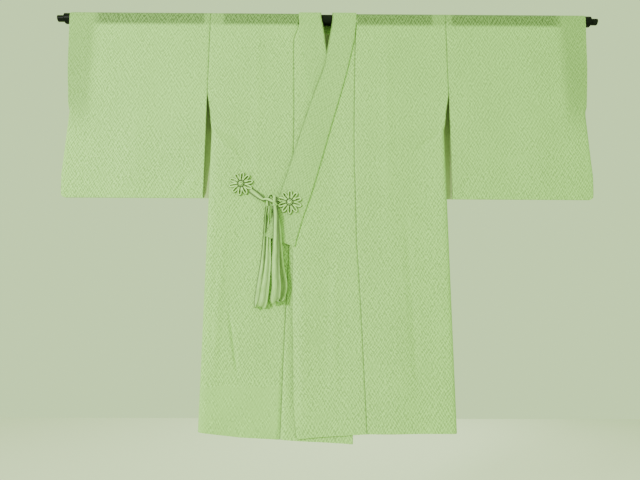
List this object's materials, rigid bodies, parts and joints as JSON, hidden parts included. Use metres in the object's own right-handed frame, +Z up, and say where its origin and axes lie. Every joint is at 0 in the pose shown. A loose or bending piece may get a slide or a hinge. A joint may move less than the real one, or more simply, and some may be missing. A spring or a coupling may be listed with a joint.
{
  "type": "dochugi coat on a garment rod",
  "caption": "Dochugi, a wrap-over coat worn over a kimono, hung flat by its shoulders on a turned rod, with a flower-knot fastening tied in a bow.",
  "frame": {"origin": "on the rod's axis, at the middle of the coat, where the rod holds the coat up", "axes": "+Z up, -Y out of the coat's front, +X along the rod to the wearer's left"},
  "size_m": [1.408, 0.0573, 1.0773],
  "materials": {
    "silk": "pale green silk with a tonal woven hatch pattern, soft sheen",
    "cord_silk": "plain pale green silk cord and ties",
    "lacquer": "black lacquer, satin gloss"
  },
  "bodies": {
    "root": {"body_left": "silk", "body_right": "silk", "overlap_left": "silk", "overlap_right": "silk", "sleeve_left": "silk", "sleeve_right": "silk", "collar": "silk", "flower_left": "cord_silk", "flower_right": "cord_silk", "tie_to_knot": "cord_silk", "bow_knot": "cord_silk", "bow_loop_behind": "cord_silk", "bow_loop_front": "cord_silk", "rod": "lacquer"}
  },
  "joints": []
}
